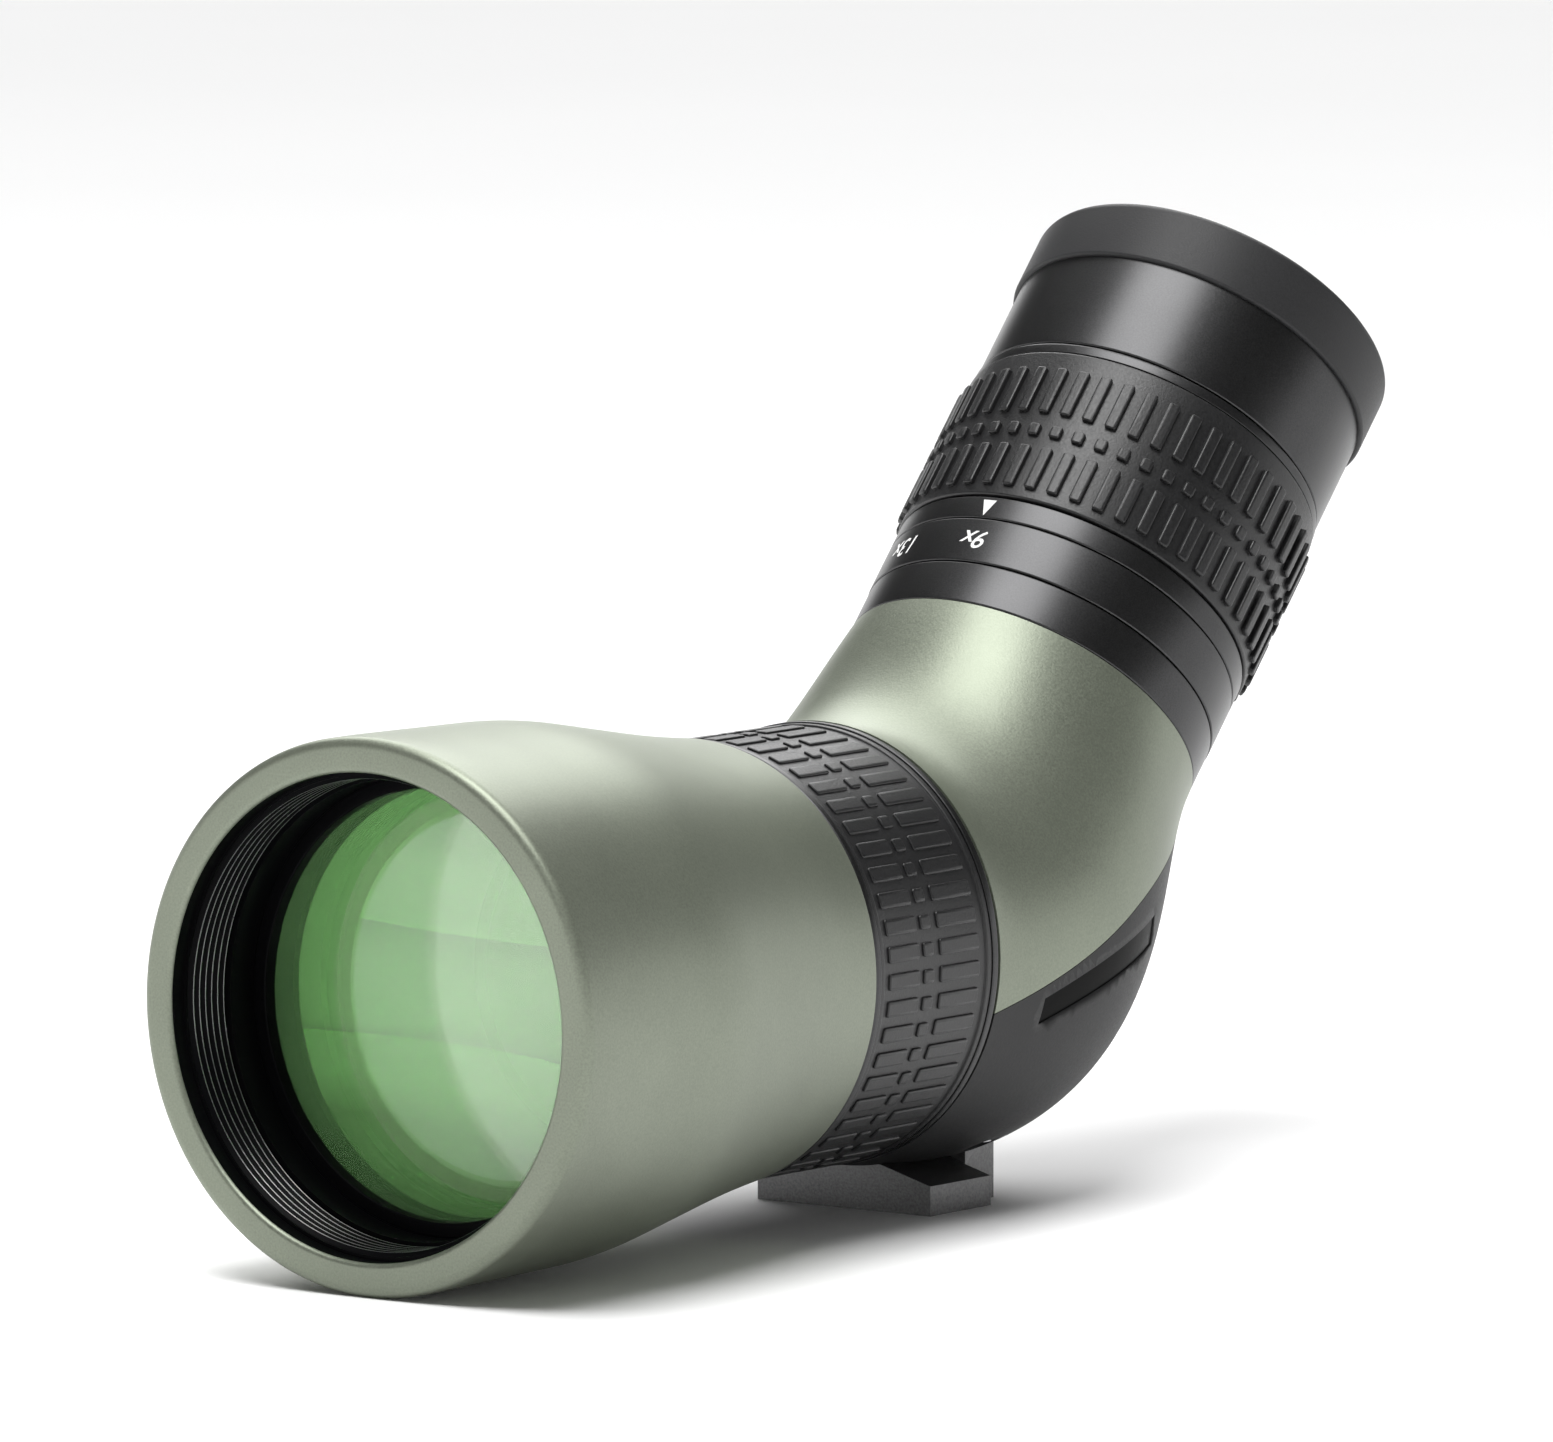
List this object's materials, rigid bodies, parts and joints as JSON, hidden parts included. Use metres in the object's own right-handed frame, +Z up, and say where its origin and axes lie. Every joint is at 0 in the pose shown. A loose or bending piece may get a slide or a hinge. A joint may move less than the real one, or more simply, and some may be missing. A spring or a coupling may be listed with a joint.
{
  "type": "angled spotting scope",
  "caption": "Compact angled spotting scope with a flared objective barrel, a mid-body focus ring, a zoom eyepiece with twist-up eyecup and a tripod foot.",
  "frame": {"origin": "centre of the tripod thread's mouth, in the foot's bottom face", "axes": "+Z up, +Y from the objective towards the eyepiece end, +X to the right seen from in front of the objective, which is the side of the nameplate; the Y-Z plane holds both optical axes"},
  "size_m": [0.072, 0.2077, 0.1296],
  "materials": {
    "body_paint": "satin metallic, fine grain",
    "satin_black": "satin",
    "black_anodised": "matt black anodised",
    "grip_rubber": "matt",
    "eyecup_rubber_material": "matt",
    "coated_lens": "polished, green anti-reflection coating",
    "prism_glass": "polished",
    "cover_plastic": "fine matt",
    "foot_paint": "satin",
    "screw_steel": "machined",
    "insert_steel": "machined",
    "plate_black": "semi-gloss"
  },
  "bodies": {
    "body": {"objective_barrel": "body_paint", "shade_ring": "black_anodised", "objective_retaining_ring": "black_anodised", "objective_cell": "black_anodised", "crown_lens": "coated_lens", "lens_spacer": "black_anodised", "flint_lens": "prism_glass", "objective_seal": "grip_rubber", "light_baffle": "black_anodised", "centre_tube": "black_anodised", "focus_ring_seals": "grip_rubber", "prism_housing": "body_paint", "lower_cover": "cover_plastic", "nameplate": "plate_black", "roof_prism": "prism_glass", "prism_holder": "black_anodised", "prism_clamp": "screw_steel", "clamp_screws": "screw_steel", "cover_screws": "screw_steel", "foot": "foot_paint", "foot_screws": "screw_steel", "tripod_insert": "insert_steel", "mount_seal": "grip_rubber", "eyepiece_mount": "satin_black", "scale_ring": "satin_black", "eyepiece_barrel": "satin_black", "zoom_guide_tube": "black_anodised", "field_stop": "black_anodised", "eye_lens_cell": "black_anodised", "inner_eye_lens": "prism_glass", "eye_lens_spacer": "black_anodised", "eye_lens": "coated_lens", "eye_lens_ring": "black_anodised"},
    "focus_ring_body": {"focus_ring": "body_paint", "focus_grip": "grip_rubber"},
    "focus_cell_body": {"focus_cell": "black_anodised", "focus_lens": "prism_glass", "focus_lens_ring": "black_anodised", "focus_pins": "screw_steel"},
    "zoom_ring_body": {"zoom_ring": "satin_black", "zoom_grip": "grip_rubber", "zoom_cam_tube": "black_anodised", "zoom_drive_screw": "screw_steel"},
    "zoom_front_body": {"zoom_cell_front": "black_anodised", "zoom_lens_front": "prism_glass", "zoom_pins_front": "screw_steel"},
    "zoom_rear_body": {"zoom_cell_rear": "black_anodised", "zoom_lens_rear": "prism_glass", "zoom_pins_rear": "screw_steel"},
    "eyecup_guide_body": {"eyecup_guide_ring": "black_anodised"},
    "eyecup_body": {"eyecup_sleeve": "satin_black", "eyecup_rubber": "eyecup_rubber_material", "eyecup_pins": "screw_steel"}
  },
  "joints": [
    {"name": "focus_turn", "type": "hinge", "parent": "body", "child": "focus_ring_body", "pos_m": [0, -0.0292, 0.036], "axis": [0, 1, 0], "range_deg": [-225, 225]},
    {"name": "focus_slide", "type": "slide", "parent": "body", "child": "focus_cell_body", "axis": [0, 1, 0], "range_m": [-0.00602, 0.00602]},
    {"name": "zoom_turn", "type": "hinge", "parent": "body", "child": "zoom_ring_body", "pos_m": [0, 0.0058, 0.036], "axis": [0, 0.6691, 0.7431], "range_deg": [-93, 0]},
    {"name": "zoom_front_slide", "type": "slide", "parent": "body", "child": "zoom_front_body", "axis": [0, 0.6691, 0.7431], "range_m": [-0.00602, 0]},
    {"name": "zoom_rear_slide", "type": "slide", "parent": "body", "child": "zoom_rear_body", "axis": [0, 0.6691, 0.7431], "range_m": [0, 0.00452]},
    {"name": "eyecup_lift", "type": "slide", "parent": "body", "child": "eyecup_guide_body", "axis": [0, 0.6691, 0.7431], "range_m": [0, 0.00802]},
    {"name": "eyecup_turn", "type": "hinge", "parent": "eyecup_guide_body", "child": "eyecup_body", "pos_m": [0, 0.0058, 0.036], "axis": [0, 0.6691, 0.7431], "range_deg": [0, 120]}
  ],
  "couplings": [
    {"joint": "focus_slide", "follows": "focus_turn", "m_per_rad": 0.0015279},
    {"joint": "zoom_front_slide", "follows": "zoom_turn", "m_per_rad": 0.0036965},
    {"joint": "zoom_rear_slide", "follows": "zoom_turn", "m_per_rad": -0.0027724},
    {"joint": "eyecup_lift", "follows": "eyecup_turn", "m_per_rad": 0.0038197}
  ]
}
